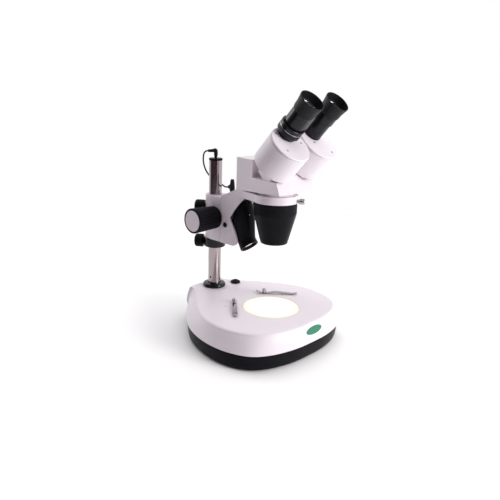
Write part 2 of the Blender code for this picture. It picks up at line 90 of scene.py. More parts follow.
world = bpy.data.worlds.new("studio")
bpy.context.scene.world = world
world.use_nodes = True
sky = world.node_tree
surroundings = sky.nodes["Background"]
surroundings.inputs["Strength"].default_value = 1.16
direction = sky.nodes.new("ShaderNodeTexCoord")
facing = sky.nodes.new("ShaderNodeVectorMath")
facing.operation = "DOT_PRODUCT"
facing.inputs[1].default_value = (-0.93, -0.33, -0.12)
shade = sky.nodes.new("ShaderNodeValToRGB")
shade.color_ramp.interpolation = "EASE"
shade.color_ramp.elements[0].position, shade.color_ramp.elements[0].color = 0.0, (1.0, 1.0, 1.0, 1.0)
shade.color_ramp.elements[1].position, shade.color_ramp.elements[1].color = 0.55, (0.06, 0.04, 0.05, 1.0)
sky.links.new(direction.outputs["Generated"], facing.inputs[0])
sky.links.new(facing.outputs["Value"], shade.inputs["Fac"])
sky.links.new(shade.outputs["Color"], surroundings.inputs["Color"])

# What the camera sees behind the bench is plain white, whichever side it looks from.
backdrop = sky.nodes.new("ShaderNodeBackground")
backdrop.inputs["Color"].default_value = (1.0, 1.0, 1.0, 1.0)
seen = sky.nodes.new("ShaderNodeLightPath")
chosen = sky.nodes.new("ShaderNodeMixShader")
sky.links.new(seen.outputs["Is Camera Ray"], chosen.inputs["Fac"])
sky.links.new(surroundings.outputs["Background"], chosen.inputs[1])
sky.links.new(backdrop.outputs["Background"], chosen.inputs[2])
sky.links.new(chosen.outputs["Shader"], sky.nodes["World Output"].inputs["Surface"])


# ---- Bench top ----
# A sheet of pale matt board under the instrument, which fades out between half a metre and a little
# over one metre away. It isn't part of the object.


# Every finish starts from one Principled shader. A Value is a number that changes over the surface,
# and arithmetic on it adds Math nodes, so a pattern reads as a formula.
class Value:
    """A number or colour made by a node; + * and ** with another Value or a number add Math nodes."""

    def __init__(self, finish, socket):
        self.finish, self.socket = finish, socket

    def maths(self, operation, first, second):
        return self.finish.node("ShaderNodeMath", {"operation": operation}, {0: first, 1: second})

    def __add__(self, other):
        return self.maths("ADD", self, other)

    def __mul__(self, other):
        return self.maths("MULTIPLY", self, other)

    def __pow__(self, other):
        return self.maths("POWER", self, other)


class Finish:
    """A material with one Principled shader, whose constants are set as it is made."""

    def __init__(self, name, colour, **constants):
        self.material = bpy.data.materials.new(name)
        self.material.use_nodes = True
        self.tree = self.material.node_tree
        self.shader = self.tree.nodes["Principled BSDF"]
        self.shader.inputs["Base Color"].default_value = (*colour, 1.0)
        for key, value in constants.items():
            self.shader.inputs[key.replace("_", " ").title().replace("Ior", "IOR")].default_value = value

    def node(self, kind, settings, sockets, output=0):
        """Adds a node, sets its settings and its sockets, and returns one output as a Value."""
        made = self.tree.nodes.new(kind)
        for key, value in settings.items():
            if key == "stops":
                for element, (position, colour) in zip(made.color_ramp.elements, value):
                    element.position, element.color = position, (*colour, 1.0)
            else:
                setattr(made, key, value)
        for key, value in sockets.items():
            if isinstance(value, Value):
                self.tree.links.new(value.socket, made.inputs[key])
            else:
                made.inputs[key].default_value = value
        return Value(self, made.outputs[output])

    def place(self):
        """The point on the surface, in metres from the piece's own origin."""
        return self.node("ShaderNodeTexCoord", {}, {}, "Object")

    def noise(self, scale, detail=2.0, stretch=(1.0, 1.0, 1.0)):
        """Soft noise of about `scale` cycles per metre, stretched along the axes."""
        where = self.node("ShaderNodeMapping", {}, {"Vector": self.place(), "Scale": stretch})
        return self.node("ShaderNodeTexNoise", {}, {"Vector": where, "Scale": scale, "Detail": detail})

    def feed(self, socket, value):
        """Drives one input of the shader with a Value."""
        self.tree.links.new(value.socket, self.shader.inputs[socket])

    def between(self, amount, first, second):
        """A colour that goes from the first to the second as the amount goes from 0 to 1."""
        stops = ((0.0, first), (1.0, second))
        self.feed("Base Color", self.node("ShaderNodeValToRGB", {"stops": stops}, {"Fac": amount}))

    def bumped(self, height, distance, strength=1.0):
        """Raises the surface by `height` times `distance` metres."""
        sockets = {"Height": height, "Distance": distance, "Strength": strength}
        self.feed("Normal", self.node("ShaderNodeBump", {}, sockets))


DATUM = np.array([0.0, 0.0, 7.0])


def shaded(name, mesh, material, sharp):
    """Links the mesh as a piece: smooth, with creases over `sharp` degrees and evenly weighted normals."""
    mesh.materials.clear()
    mesh.materials.append(material)
    mesh.shade_smooth()
    mesh.set_sharp_from_angle(angle=math.radians(sharp))
    piece = bpy.data.objects.new(name, mesh)
    bpy.context.scene.collection.objects.link(piece)
    piece.modifiers.new("even shading", "WEIGHTED_NORMAL").keep_sharp = True
    return piece


def built(name, points, faces, material, sharp=32.0):
    """A piece from points in millimetres and faces of any number of corners; equal points are joined."""
    mesh = bpy.data.meshes.new(name)
    placed = (np.asarray(points, float).reshape(-1, 3) + DATUM) * 0.001
    mesh.from_pydata(placed.tolist(), [], faces if isinstance(faces, list) else faces.tolist())
    bm = bmesh.new()
    bm.from_mesh(mesh)
    bmesh.ops.remove_doubles(bm, verts=bm.verts, dist=2e-7)
    bmesh.ops.recalc_face_normals(bm, faces=bm.faces)
    bm.to_mesh(mesh)
    bm.free()
    return shaded(name, mesh, material, sharp)


board = Finish("bench", (0.96, 0.955, 0.96), roughness=0.8)
board.bumped(board.noise(700.0), 0.00002, 0.4)
spread_out = board.node("ShaderNodeVectorMath", {"operation": "LENGTH"}, {0: board.place()}, "Value")
fade = {"Value": spread_out, "From Min": 0.55, "From Max": 1.3, "To Min": 1.0, "To Max": 0.0}
board.feed("Alpha", board.node("ShaderNodeMapRange", {"interpolation_type": "SMOOTHSTEP"}, fade))
edge, bench_z = 2000.0, -DATUM[2]
corners = [(-edge, -edge, bench_z), (edge, -edge, bench_z), (edge, edge, bench_z), (-edge, edge, bench_z)]
bench = built("bench", corners, [[0, 1, 2, 3]], board.material)


# ---- Lamp lead ----
# A thin black PVC lead with a moulded plug at each end: from the jack in the pillar's cap it bows
# out behind the pillar, comes round its right side and lies on the carriage, where it feeds the lamp.
lead_route = np.array([
    (-8.8, 156.0, 304.0), (-12.6, 160.4, 303), (-14.6, 161.4, 294), (-14.2, 161.2, 283), (-9.5, 161.8, 271),
    (1, 162.5, 258), (13, 158, 249), (18, 146.5, 243), (12.5, 134, 241.5), (6, 124, 242.2),
    (1.1, 110.2, 245),
])
LEAD_RADIUS = 1.35


def moulding(name, colour, pale, rough, grain, gloss):
    """Black moulded plastic: fine pebbled grain, and gloss that varies with it."""
    finish = Finish(name, colour, specular_ior_level=gloss)
    pebbles = finish.noise(1900.0, 2.0)
    finish.between(finish.noise(60.0, 3.0), colour, pale)
    finish.feed("Roughness", pebbles * 0.16 + (rough - 0.08))
    finish.bumped(pebbles, grain, 0.8)
    return finish.material


def spline_through(controls, samples):
    """Clamped cubic B-spline: at each parameter the sum of the controls times their basis functions."""
    count = len(controls)
    knots = np.concatenate([np.zeros(3), np.linspace(0.0, 1.0, count - 2), np.ones(3)])
    at = np.linspace(0.0, 1.0 - 1e-9, samples)
    basis = ((knots[:-1] <= at[:, None]) & (at[:, None] < knots[1:])).astype(float)
    for degree in (1, 2, 3):
        span_left = knots[degree:-1] - knots[: -degree - 1]
        span_right = knots[degree + 1 :] - knots[1:-degree]
        none = np.zeros((samples, len(span_left)))
        left = np.divide(
            at[:, None] - knots[: -degree - 1], span_left, out=none.copy(), where=span_left > 0
        )
        right = np.divide(knots[degree + 1 :] - at[:, None], span_right, out=none, where=span_right > 0)
        basis = left * basis[:, :-1] + right * basis[:, 1:]
    return basis @ controls


def grid_quads(rows, columns, close_rows=True):
    """Faces of a grid of points numbered row by row. Each row closes on itself, as a ring does."""
    i, j = np.meshgrid(np.arange(rows if close_rows else rows - 1), np.arange(columns), indexing="ij")
    below, beside = (i + 1) % rows, (j + 1) % columns
    corners = np.stack(
        [i * columns + j, i * columns + beside, below * columns + beside, below * columns + j], axis=-1
    )
    return corners.reshape(-1, 4)


def swept(name, path, radius, material, steps=14):
    """A round tube: each ring lies across the path, carried along it without twist, and ends are closed."""
    along = np.gradient(path, axis=0)
    along /= np.linalg.norm(along, axis=1)[:, None]
    side = np.cross(along[0], (0.0, 0.0, 1.0) if abs(along[0][2]) < 0.8 else (0.0, 1.0, 0.0))
    sides = []
    for way in along:
        side = side - way * (side @ way)
        side = side / np.linalg.norm(side)
        sides.append(side)
    sides = np.array(sides)
    ups = np.cross(along, sides)
    t = np.linspace(0.0, 2 * math.pi, steps, endpoint=False)[None, :, None]
    size = np.broadcast_to(np.asarray(radius, float), (len(path),))[:, None, None]
    rings = path[:, None] + size * (np.cos(t) * sides[:, None] + np.sin(t) * ups[:, None])
    ends = [np.repeat(path[i][None], steps, axis=0)[None] for i in (0, -1)]
    points = np.concatenate([ends[0], rings, ends[1]])
    return built(name, points, grid_quads(len(points), steps, close_rows=False), material)


rubber = moulding("black rubber", (0.0075, 0.0073, 0.0088), (0.011, 0.0105, 0.0125), 0.50, 0.00006, 0.2)
lead_line = spline_through(lead_route, 90)
lead = swept("lamp_lead_sheath", lead_line, LEAD_RADIUS, rubber)
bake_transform(lead)
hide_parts("lamp_lead")
lead_path = ((lead_line + DATUM) * 0.001).tolist()


# ---- Base cover ----
# One white injection-moulded shell, egg-shaped in plan with a squared tail under the pillar. Its flat
# top rounds over into a slightly barrelled wall, and it has a step for the stage plate.
STAGE_Z, COVER_Z, STAGE_R = 54.0, 21.0, 47.5
SHOULDER, SHOULDER_IN, BULGE = 4.0, 4.5, 1.7
HOLE_R, HOLE_EASE = STAGE_R + 0.3, 0.6
FOOT_Z = COVER_Z + 0.3
side_low = [
    (0, -93), (42, -91), (84, -80), (113, -60), (128, -25), (131, 12), (125, 50), (111, 86),
    (88, 120), (62, 150), (43, 168), (38, 176), (0, 178),
]
side_top = [
    (0, -89), (40, -87), (78, -76), (104, -56), (119, -24), (123, 12), (116, 46), (99, 78),
    (76, 112), (54, 138), (41, 158), (37, 171), (0, 173.5),
]


def enamel(name, light, dark, rough):
    """Sprayed or moulded white: two near tints, a little unevenness of gloss, and orange peel."""
    finish = Finish(name, light, specular_ior_level=0.45)
    cloud = finish.noise(38.0, 3.0)
    finish.between(cloud, dark, light)
    finish.feed("Roughness", finish.noise(420.0) * 0.10 + (rough - 0.05))
    finish.bumped(finish.noise(1500.0), 0.00002, 0.5)
    return finish.material


def catmull_rom(a, b, c, d, t):
    """The cubic from b (t = 0) to c (t = 1) that leaves b along c - a and meets c along d - b."""
    return 0.5 * (2 * b + (c - a) * t + (2 * a - 5 * b + 4 * c - d) * t**2 + (3 * b - a - 3 * c + d) * t**3)


def egg(half, per_span):
    """A closed Catmull-Rom curve through the points of one side and their mirror images."""
    whole = np.array(half + [(-x, y) for x, y in reversed(half) if x > 0.01], float)
    a, b, c, d = (np.roll(whole, -k, axis=0)[:, None] for k in (-1, 0, 1, 2))
    t = (np.arange(per_span) / per_span)[None, :, None]
    return catmull_rom(a, b, c, d, t).reshape(-1, 2)


def moved_in(outline, distance):
    """The outline moved inwards along its normals by the distance, or outwards if it is negative."""
    along = np.roll(outline, -1, axis=0) - np.roll(outline, 1, axis=0)
    along /= np.linalg.norm(along, axis=1)[:, None]
    return outline + distance * np.stack([-along[:, 1], along[:, 0]], axis=1)


def shrunk(outline, distance):
    """The outline drawn in towards its middle by about the distance, without crossing at tight corners."""
    middle, reach = np.array([0.0, 43.0]), 134.0
    return middle + (outline - middle) * (1 - distance / reach)


def at_height(outline, z):
    """The outline's points (x, y) as points (x, y, z)."""
    return np.c_[outline, np.full(len(outline), z)]


def barrel(share):
    """The cover's wall between its foot (0) and its shoulder (1), bulged outwards at mid height."""
    line = low_line * (1 - share) + top_line * share
    bulge = BULGE * math.sin(math.pi * share) ** 0.8
    return at_height(moved_in(line, -bulge), FOOT_Z + share * (STAGE_Z - SHOULDER - FOOT_Z))


white_moulding = enamel("white moulding", (0.74, 0.68, 0.73), (0.72, 0.66, 0.71), 0.40)
low_line, top_line = egg(side_low, 12), egg(side_top, 12)
quarter = np.linspace(0.0, math.pi / 2, 9)
shoulder = [
    at_height(shrunk(top_line, SHOULDER_IN * (1 - math.cos(a))), STAGE_Z + SHOULDER * (math.sin(a) - 1))
    for a in quarter
]
bearing = np.arctan2(top_line[:, 1], top_line[:, 0])
ringed = np.stack([np.cos(bearing), np.sin(bearing)], axis=1)
hole_edge = [
    at_height(ringed * (HOLE_R + HOLE_EASE * (1 - math.sin(a))), STAGE_Z - HOLE_EASE * (1 - math.cos(a)))
    for a in quarter
]
across_top = [
    at_height(shrunk(top_line, SHOULDER_IN) * (1 - s) + ringed * (HOLE_R + HOLE_EASE) * s, STAGE_Z)
    for s in (0.25, 0.5, 0.75)
]
cover_rings = [
    at_height(shrunk(low_line, 3.0), FOOT_Z),
    at_height(shrunk(low_line, 0.5), FOOT_Z),
    *(barrel(s) for s in np.linspace(0.02, 0.98, 14)),
    *shoulder, *across_top, *hole_edge,
    at_height(ringed * HOLE_R, STAGE_Z - 3.0),
    at_height(shrunk(top_line, 8.0), STAGE_Z - 3.0),
    at_height(shrunk(top_line, 4.0), STAGE_Z - 7.0),
]
cover_faces = grid_quads(len(cover_rings), len(top_line))
cover = built("base_shell", np.array(cover_rings), cover_faces, white_moulding)


def pierced(piece, low, high):
    """Cuts a box, given by two corners in millimetres, right through the piece."""
    corner = [[(low, high)[(k >> axis) & 1][axis] for axis in range(3)] for k in range(8)]
    sides = [[0, 1, 3, 2], [4, 6, 7, 5], [0, 4, 5, 1], [2, 3, 7, 6], [0, 2, 6, 4], [1, 5, 7, 3]]
    cutter = built("cutter", corner, sides, white_moulding)
    cutter.modifiers.clear()
    piece.modifiers.remove(piece.modifiers["even shading"])
    hole = piece.modifiers.new("opening", "BOOLEAN")
    hole.operation, hole.solver, hole.object = "DIFFERENCE", "EXACT", cutter
    graph = bpy.context.evaluated_depsgraph_get()
    piece.data = bpy.data.meshes.new_from_object(piece.evaluated_get(graph))
    piece.modifiers.clear()
    bpy.data.objects.remove(cutter)
    piece.data.set_sharp_from_angle(angle=math.radians(32.0))
    piece.modifiers.new("even shading", "WEIGHTED_NORMAL").keep_sharp = True


def fitted(piece, body, slot, *nodes):
    """The piece rides on its body and stands for its CAD nodes, which are hidden. The slot is not used."""
    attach(piece, body)
    if nodes:
        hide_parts(*nodes)
    return piece


pierced(cover, (-13.4, 155, 27.7), (13.4, 190, 44.3))
fitted(cover, "base", "white_plastic", "base_cover")


def eased(profile, radius, steps=4):
    """A closed profile with each corner replaced by a quadratic curve that starts `radius` before it.

    Corners on the axis, where the first coordinate is 0, stay sharp.
    """
    corner = np.array(profile, float)
    before, after = np.roll(corner, 1, axis=0) - corner, np.roll(corner, -1, axis=0) - corner
    off_axis = corner[:, :1] > 1e-6
    start, end = (
        corner + side / length * np.minimum(radius, 0.42 * length) * off_axis
        for side, length in ((v, np.linalg.norm(v, axis=1)[:, None]) for v in (before, after))
    )
    t = np.linspace(0.0, 1.0, steps)[None, :, None]
    curve = (1 - t) ** 2 * start[:, None] + 2 * t * (1 - t) * corner[:, None] + t**2 * end[:, None]
    flat = curve.reshape(-1, 2)
    return flat[np.linalg.norm(flat - np.roll(flat, 1, axis=0), axis=1) > 1e-5]


def axes_of(axis):
    """Three unit vectors as rows: two across the axis and the axis itself."""
    along = np.array(axis, float) / np.linalg.norm(axis)
    across = np.cross(along, (0.0, 0.0, 1.0) if abs(along[2]) < 0.9 else (0.0, 1.0, 0.0))
    across /= np.linalg.norm(across)
    return np.stack([across, np.cross(along, across), along])


def turned(name, profile, origin, axis, material, soft=0.5, steps=96, ribs=None):
    """A solid of revolution: radius * (cos t, sin t) across the axis and height along it.

    The profile's corners are eased by `soft`, and ribs = (count, depth, low, high) cuts rounded grooves
    into the outside between two heights.
    """
    loop = eased(profile, soft)
    if ribs:
        count, depth, low, high = ribs
        steps = count * 8
        outer = (loop[:, 0] > loop[:, 0].max() * 0.6) & (loop[:, 1] > low) & (loop[:, 1] < high)
    t = np.linspace(0.0, 2 * math.pi, steps, endpoint=False)
    radius = np.repeat(loop[:, :1], steps, axis=1)
    if ribs:
        radius = radius - outer[:, None] * depth * (0.5 - 0.5 * np.cos(count * t)) ** 1.5
    points = np.stack(
        [radius * np.cos(t), radius * np.sin(t), np.repeat(loop[:, 1:], steps, axis=1)], axis=-1
    )
    return built(name, np.array(origin) + points @ axes_of(axis), grid_quads(len(loop), steps), material)


# The black tray that closes the shell from below: a moulded dish with a rounded skirt.
black_plastic = moulding(
    "black plastic", (0.0055, 0.0052, 0.0066), (0.0085, 0.008, 0.0102), 0.36, 0.00005, 0.06
)
rim_line = shrunk(low_line, 2.0)
skirt = [
    (7.0, -5.0), (4.0, -4.6), (2.4, -2.6), (1.5, 0.5), (0.8, 5.0), (0.3, 11.0), (0.0, 17.0), (0.0, 20.4),
    (0.3, 21.0),
]
tray_rings = [
    at_height(rim_line * 0.0, -5.0),
    *(at_height(shrunk(rim_line, inset), z) for inset, z in skirt),
    at_height(shrunk(rim_line, 3.0), 21.0),
    at_height(shrunk(rim_line, 4.0), 2.0),
    at_height(rim_line * 0.0, -2.0),
]
tray_faces = grid_quads(len(tray_rings), len(rim_line), close_rows=False)
tray = built("base_pan", np.array(tray_rings), tray_faces, black_plastic)
fitted(tray, "base", "black_plastic", "base_tray")

service_disc = [(0, -6.3), (35.6, -6.3), (36, -5.9), (36, -5.3), (0, -5.3)]
fitted(
    turned("base_service_disc", service_disc, (0, 0, 0), (0, 0, 1), black_plastic, 0.3),
    "base", "black_plastic", "access_cover",
)
for node in ("foot_front_R", "foot_front_L", "foot_rear_R", "foot_rear_L"):
    low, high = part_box(node)
    x, y, _ = (low + high) * 500.0
    foot = [(0, -7), (7.4, -7), (9, -6.2), (9, -5.3), (0, -5.3)]
    fitted(turned(f"{node}_pad", foot, (x, y, 0), (0, 0, 1), rubber, 0.4, 48), "base", "rubber", node)

# The oval badge on the front wall, here a plain green enamel plate with a pale rim and no lettering.
BADGE_X, BADGE_Z = 2.5, 41.6
badge_green = Finish("badge green", (0.008, 0.16, 0.09), roughness=0.35)
badge_green.between(badge_green.noise(300.0), (0.006, 0.145, 0.08), (0.012, 0.175, 0.10))
badge_pale = Finish("badge rim", (0.75, 0.78, 0.76), roughness=0.4)


def on_front_wall(x, z):
    """Points 0.15 mm proud of the shell's front wall, at the given x and height."""
    share = (z - FOOT_Z) / (STAGE_Z - SHOULDER - FOOT_Z)
    front = low_line[:, 1] < -40
    low_y, top_y = (
        np.interp(x, *line[np.argsort(line[:, 0])].T) for line in (low_line[front], top_line[front])
    )
    bulge = BULGE * np.sin(math.pi * np.clip(share, 0, 1)) ** 0.8
    return np.stack([x, low_y * (1 - share) + top_y * share - bulge - 0.15, z], axis=-1)


def oval(name, wide, tall, proud, material):
    """A disc of rings that shrink to its centre, laid on the front wall."""
    s = np.linspace(1.0, 0.0, 10)[:, None]
    t = np.linspace(0.0, 2 * math.pi, 64, endpoint=False)[None, :]
    points = on_front_wall(BADGE_X + wide * s * np.cos(t), BADGE_Z + tall * s * np.sin(t))
    points[..., 1] -= proud * np.minimum(1.0, (1.0 - s) * 12.0)
    return built(name, points, grid_quads(10, 64, close_rows=False), material)


fitted(oval("badge_rim", 21.5, 7.6, 0.15, badge_pale.material), "base", "white_plastic")
fitted(oval("badge_plate", 20.6, 6.9, 0.35, badge_green.material), "base", "white_plastic")


# A small plugged hole in the top, left of the stage.
hole_plug = [(0, STAGE_Z - 0.4), (1.1, STAGE_Z - 0.4), (1.1, STAGE_Z + 0.05), (0, STAGE_Z + 0.2)]
fitted(
    turned("top_hole_plug", hole_plug, (-56, 54, 0), (0, 0, 1), black_plastic, 0.1, 24),
    "base", "black_plastic",
)


# ---- Stage plate and the light under it ----
# A frosted glass disc, dropped into the cover's step and lit from below, so it glows warm white and
# a little creamier at its rim. Under it are a white cone and a small light board.


def painted(node, material):
    """A CAD node that shows as it is, in a finish of its own."""
    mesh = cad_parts[node].data
    mesh.materials.clear()
    mesh.materials.append(material)


glow = Finish("lit glass", (0.50, 0.47, 0.42), roughness=0.35)
flat = glow.node("ShaderNodeVectorMath", {"operation": "MULTIPLY"}, {0: glow.place(), 1: (1.0, 1.0, 0.0)})
from_axis = glow.node("ShaderNodeVectorMath", {"operation": "LENGTH"}, {0: flat}, "Value")
rimward = (from_axis * (1000.0 / STAGE_R)) ** 5.0
tints = {"stops": ((0.0, (1.0, 0.985, 0.95)), (1.0, (0.85, 0.72, 0.50)))}
glow.feed("Emission Color", glow.node("ShaderNodeValToRGB", tints, {"Fac": rimward}))
glow.shader.inputs["Emission Strength"].default_value = 0.60
under = STAGE_Z - 5
plate = [(0, under), (STAGE_R, under), (STAGE_R, STAGE_Z - 0.5), (STAGE_R - 0.5, STAGE_Z), (0, STAGE_Z)]
fitted(
    turned("stage_glass", plate, (0, 0, 0), (0, 0, 1), glow.material, 0.3, 128),
    "stage", "stage", "stage_plate",
)
reflector = Finish("white reflector", (0.88, 0.87, 0.84), roughness=0.3)
painted("light_well", reflector.material)
board_yellow = Finish("light board", (0.9, 0.75, 0.4), roughness=0.5)
painted("led_board", board_yellow.material)


# ---- Mains socket and dimmer ----
# The socket is a black moulded shell with three pins, let into the tail of the base. The dimmer is a
# low domed knob on a short spindle behind the stage.


def bevelled(piece, width):
    """Rounds the piece's edges by `width` millimetres."""
    bevel = piece.modifiers.new("rounded edges", "BEVEL")
    bevel.width, bevel.segments, bevel.limit_method = width * 0.001, 3, "ANGLE"
    bevel.angle_limit, bevel.use_clamp_overlap, bevel.harden_normals = math.radians(28.0), True, False
    piece.modifiers.move(piece.modifiers.find("even shading"), len(piece.modifiers) - 1)
    return piece


def eased_copy(name, node, width, material):
    """A CAD node's mesh with its flat faces made whole again and its edges rounded."""
    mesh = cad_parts[node].data.copy()
    mesh.name = name
    bm = bmesh.new()
    bm.from_mesh(mesh)
    bmesh.ops.remove_doubles(bm, verts=bm.verts, dist=2e-6)
    bmesh.ops.dissolve_limit(bm, angle_limit=math.radians(0.6), verts=bm.verts, edges=bm.edges)
    bm.to_mesh(mesh)
    bm.free()
    if "custom_normal" in mesh.attributes:
        mesh.attributes.remove(mesh.attributes["custom_normal"])
    return bevelled(shaded(name, mesh, material, 32.0), width)


fitted(
    eased_copy("power_socket_shell", "power_inlet", 0.6, black_plastic),
    "base", "black_plastic", "power_inlet",
)
steel = Finish("plain steel", (0.62, 0.60, 0.60), metallic=1.0, roughness=0.28)
steel.feed("Roughness", steel.noise(900.0) * 0.14 + 0.2)
for x, z, name in ((-5.0, 35.0, "m5"), (5.0, 35.0, "p5"), (0.0, 38.6, "p0")):
    pin = [(0, 169), (1.1, 169), (1.1, 177), (0, 178)]
    fitted(
        turned(f"socket_pin_{name}", pin, (x, 0, z), (0, 1, 0), steel.material, 0.3, 20),
        "base", "steel",
    )
painted("dimmer_control", black_plastic)
dome = [
    (0, 56.5), (3.9, 56.5), (3.9, 54.6), (9.4, 54.6), (9.4, 56.2), (8, 58.2), (4.6, 59.2), (2.6, 60.7),
    (0, 61),
]
fitted(
    turned("dimmer_dome", dome, (40, 128, 0), (0, 0, 1), black_plastic, 0.7, 72),
    "dimmer", "black_plastic", "dimmer_knob",
)


# ---- Stage clips ----
# Two polished spring-steel strips, each bent so that its tip presses down, and each held by a tall
# thumb screw. At rest both are turned off the plate.
polished = Finish("polished steel", (0.46, 0.44, 0.45), metallic=1.0, roughness=0.16)
polished.feed("Roughness", polished.noise(500.0, 2.0, (1.0, 1.0, 0.15)) * 0.12 + 0.1)
spring = Finish("spring steel", (0.27, 0.25, 0.26), metallic=1.0, roughness=0.2)
spring.feed("Roughness", spring.noise(500.0, 2.0, (1.0, 1.0, 0.2)) * 0.14 + 0.12)
bend = np.array([
    (-15, 5.2), (-9, 2.6), (-4, 1.3), (5, 1.3), (20, 3.6), (43, 1.9), (52, 0.9), (60, 2.8)
], float)
CLIP_X, CLIP_Y = 38, 51
for side, name in ((1, "R"), (-1, "L")):
    along = np.array([side * 0.68, -0.733, 0.0]) / math.hypot(0.68, 0.733)
    across = np.array([-along[1], along[0], 0.0])
    s = np.linspace(-15, 60, 76)
    lift = np.interp(s, bend[:, 0], bend[:, 1])
    lift = np.convolve(np.pad(lift, 3, mode="edge"), np.ones(7) / 7, mode="valid")
    half_width = 4.0 * np.sqrt(np.clip(1 - ((s - 22.5) / 37.55) ** 14, 0.02, 1))
    section = np.array([
        (-1, 0.06), (-0.94, 0), (0.94, 0), (1, 0.06), (1, 0.74), (0.94, 0.8), (-0.94, 0.8), (-1, 0.74)
    ])
    strip = (
        np.array([side * CLIP_X, CLIP_Y, STAGE_Z]) + s[:, None, None] * along
        + half_width[:, None, None] * section[None, :, :1] * across
        + (lift[:, None, None] + section[None, :, 1:]) * np.array([0.0, 0.0, 1.0])
    )
    ends = [np.repeat(strip[i].mean(axis=0)[None], 8, axis=0)[None] for i in (0, -1)]
    strip = np.concatenate([ends[0], strip, ends[1]])
    clip = built(f"spring_clip_{name}", strip, grid_quads(len(strip), 8, close_rows=False), spring.material)
    fitted(clip, f"clip_{name}", "chrome", f"stage_clip_{name}")
    screw = [(0, 44), (1.8, 44), (1.8, 56.6), (3.3, 56.6), (3.3, 63.4), (2.6, 64.2), (0, 64.2)]
    thumbscrew = turned(
        f"clip_thumbscrew_{name}", screw, (side * CLIP_X, CLIP_Y, 0), (0, 0, 1), polished.material, 0.3,
        ribs=(24, 0.25, 57.2, 63.2),
    )
    fitted(thumbscrew, "base", "chrome", f"clip_screw_{name}")


# ---- Pillar ----
# A ground and chromed steel tube in a black flange, with a black cap that holds the jack for the
# lamp's lead, and a stop hole low on its left side.
chrome = Finish("chrome", (0.37, 0.32, 0.33), metallic=1.0, roughness=0.12)
drawn = chrome.noise(160.0, 3.0, (6.0, 6.0, 0.25))
chrome.feed("Roughness", drawn * 0.14 + 0.07)
chrome.bumped(chrome.noise(900.0, 2.0, (3.0, 3.0, 0.1)), 0.000006, 0.5)
PILLAR = (0, 144, 0)
PILLAR_R, PILLAR_TOP = 11.6, 288.3
anodised = moulding("black anodised", (0.006, 0.006, 0.008), (0.009, 0.009, 0.012), 0.17, 0.00001, 0.26)
tube = [(9.5, 15.3), (PILLAR_R, 15.3), (PILLAR_R, PILLAR_TOP), (9.5, PILLAR_TOP)]
fitted(turned("pillar_tube", tube, PILLAR, (0, 0, 1), chrome.material, 0.4), "base", "chrome", "pillar")
# The stop hole is drawn as a flat black disc just proud of the tube: its black is painted shade, standing
# for the dark inside of the hole.
shade_disc = [(0, -11.72), (1.9, -11.72), (1.9, -11.3), (0, -11.3)]
hole_shade = turned("pillar_hole_shade", shade_disc, (0, 142, 73), (1, 0, 0), rubber, 0.1, 24)
fitted(hole_shade, "base", "black_metal")
flange = [(11.9, 54.3), (21, 54.3), (21, 58), (19.5, 60.6), (14.5, 61.5), (11.9, 61.5)]
fitted(
    turned("pillar_foot_ring", flange, PILLAR, (0, 0, 1), anodised, 1.2),
    "base", "black_metal", "pillar_flange",
)
cap = [(2.0, 278), (9.2, 278), (9.2, 288.6), (12.2, 288.6), (12.2, 291), (11.4, 292), (2.0, 292)]
fitted(
    turned("pillar_top_cap", cap, PILLAR, (0, 0, 1), black_plastic, 0.5),
    "base", "black_plastic", "pillar_cap",
)


def plug(name, spine, radii, material):
    """A moulded plug: a tube whose radius changes along a rounded elbow."""
    line = spline_through(np.array(spine, float), 40)
    size = np.interp(np.linspace(0, 1, 40), np.linspace(0, 1, len(radii)), radii)
    return swept(name, line, size, material, 24)


top_elbow = [
    (0, 144, 281), (0, 144, 290), (0, 144, 299), (0, 144, 306.5), (-2.0, 146.8, 304.6), (-5.2, 151, 304.2),
    (-8.4, 155.2, 304),
]
fitted(
    plug("top_plug_boot", top_elbow, (1.7, 1.7, 3.4, 3.5, 3.5, 3.5, 3.2, 2.9, 2.7, 2.4), rubber),
    "base", "black_plastic", "lead_plug_top",
)


# ---- Stop collar and its thumb screw ----
# A black anodised ring clamped on the pillar by a moulded knob at the back left. The clamp above
# rests on it, so the head can't drop.
screw_way = np.array([-0.574, 0.819, 0.0])
collar = [(11.9, 131.5), (18.2, 131.5), (19.5, 132.8), (19.5, 147.4), (18.5, 148.4), (11.9, 148.4)]
fitted(
    turned("stop_ring", collar, PILLAR, (0, 0, 1), anodised, 0.8),
    "collar", "black_metal", "stop_collar",
)


def thumb_knob(name, z, radius):
    """A round moulded knob on a stud, with finger grooves round its rim."""
    outline = [
        (0, 12), (3, 12), (3, radius + 0.4), (7, radius + 0.4), (7, radius + 1.2), (11.4, radius + 1.6),
        (12, radius + 2.6), (12, 33.4), (11.2, 35.4), (9.2, 36.8), (0, 36.8),
    ]
    return turned(
        name, outline, (0, 144, z), screw_way, black_plastic, 1.4, ribs=(22, 0.45, radius + 2.4, 34.5)
    )


fitted(thumb_knob("collar_thumb_knob", 140.0, 19.5), "collar_thumbscrew", "black_plastic", "collar_screw")
fitted(thumb_knob("clamp_thumb_knob", 204.0, 17.5), "clamp_thumbscrew", "black_plastic", "clamp_knob")


# ---- Pillar clamp ----
# A white cast block that grips the pillar, with a half-round back and a slideway in front for the
# carriage.
white_paint = enamel("white paint", (0.72, 0.65, 0.70), (0.70, 0.63, 0.68), 0.36)
fitted(
    eased_copy("clamp_casting", "pillar_clamp", 0.9, white_paint),
    "clamp", "white_paint", "pillar_clamp",
)


